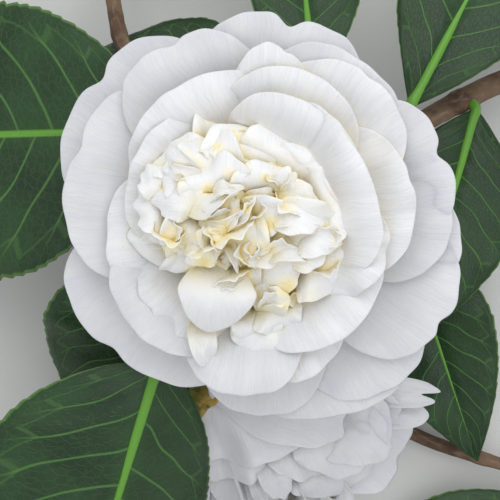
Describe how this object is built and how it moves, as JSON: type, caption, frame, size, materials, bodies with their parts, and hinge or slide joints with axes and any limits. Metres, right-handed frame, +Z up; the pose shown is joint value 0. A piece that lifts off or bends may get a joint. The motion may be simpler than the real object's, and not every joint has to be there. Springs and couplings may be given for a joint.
{
  "type": "cut flowering camellia branch",
  "caption": "Cut flowering camellia branch lying down: a large ruffled double bloom facing up, another beside and below it, glossy pointed leaves and a forked woody stem.",
  "frame": {"origin": "middle of the whole branch's box, on the surface that the branch lies on", "axes": "+Z up from the surface, +Y towards the top of the picture and +X to its right"},
  "size_m": [0.2441, 0.2512, 0.1032],
  "materials": {
    "petal": "matte, thin and a little translucent",
    "leaf": "glossy, leathery",
    "scale": "dull, papery",
    "bark": "rough bark"
  },
  "bodies": {
    "root": {"stem_main": "bark", "twig_upper": "bark", "twig_lower": "bark", "twig_right": "bark", "leaf_left": "leaf", "leaf_lower_left": "leaf", "leaf_left_under": "leaf", "leaf_top_left": "leaf", "leaf_top": "leaf", "leaf_upper_right": "leaf", "leaf_right": "leaf", "leaf_lower_right": "leaf", "leaf_corner": "leaf", "leaf_upper_twig_end": "leaf", "leaf_upper_twig_side": "leaf", "leaf_right_twig_end": "leaf", "calyx_front": "scale", "calyx_second": "scale", "bloom_front": "petal", "bloom_second": "petal"}
  },
  "joints": []
}
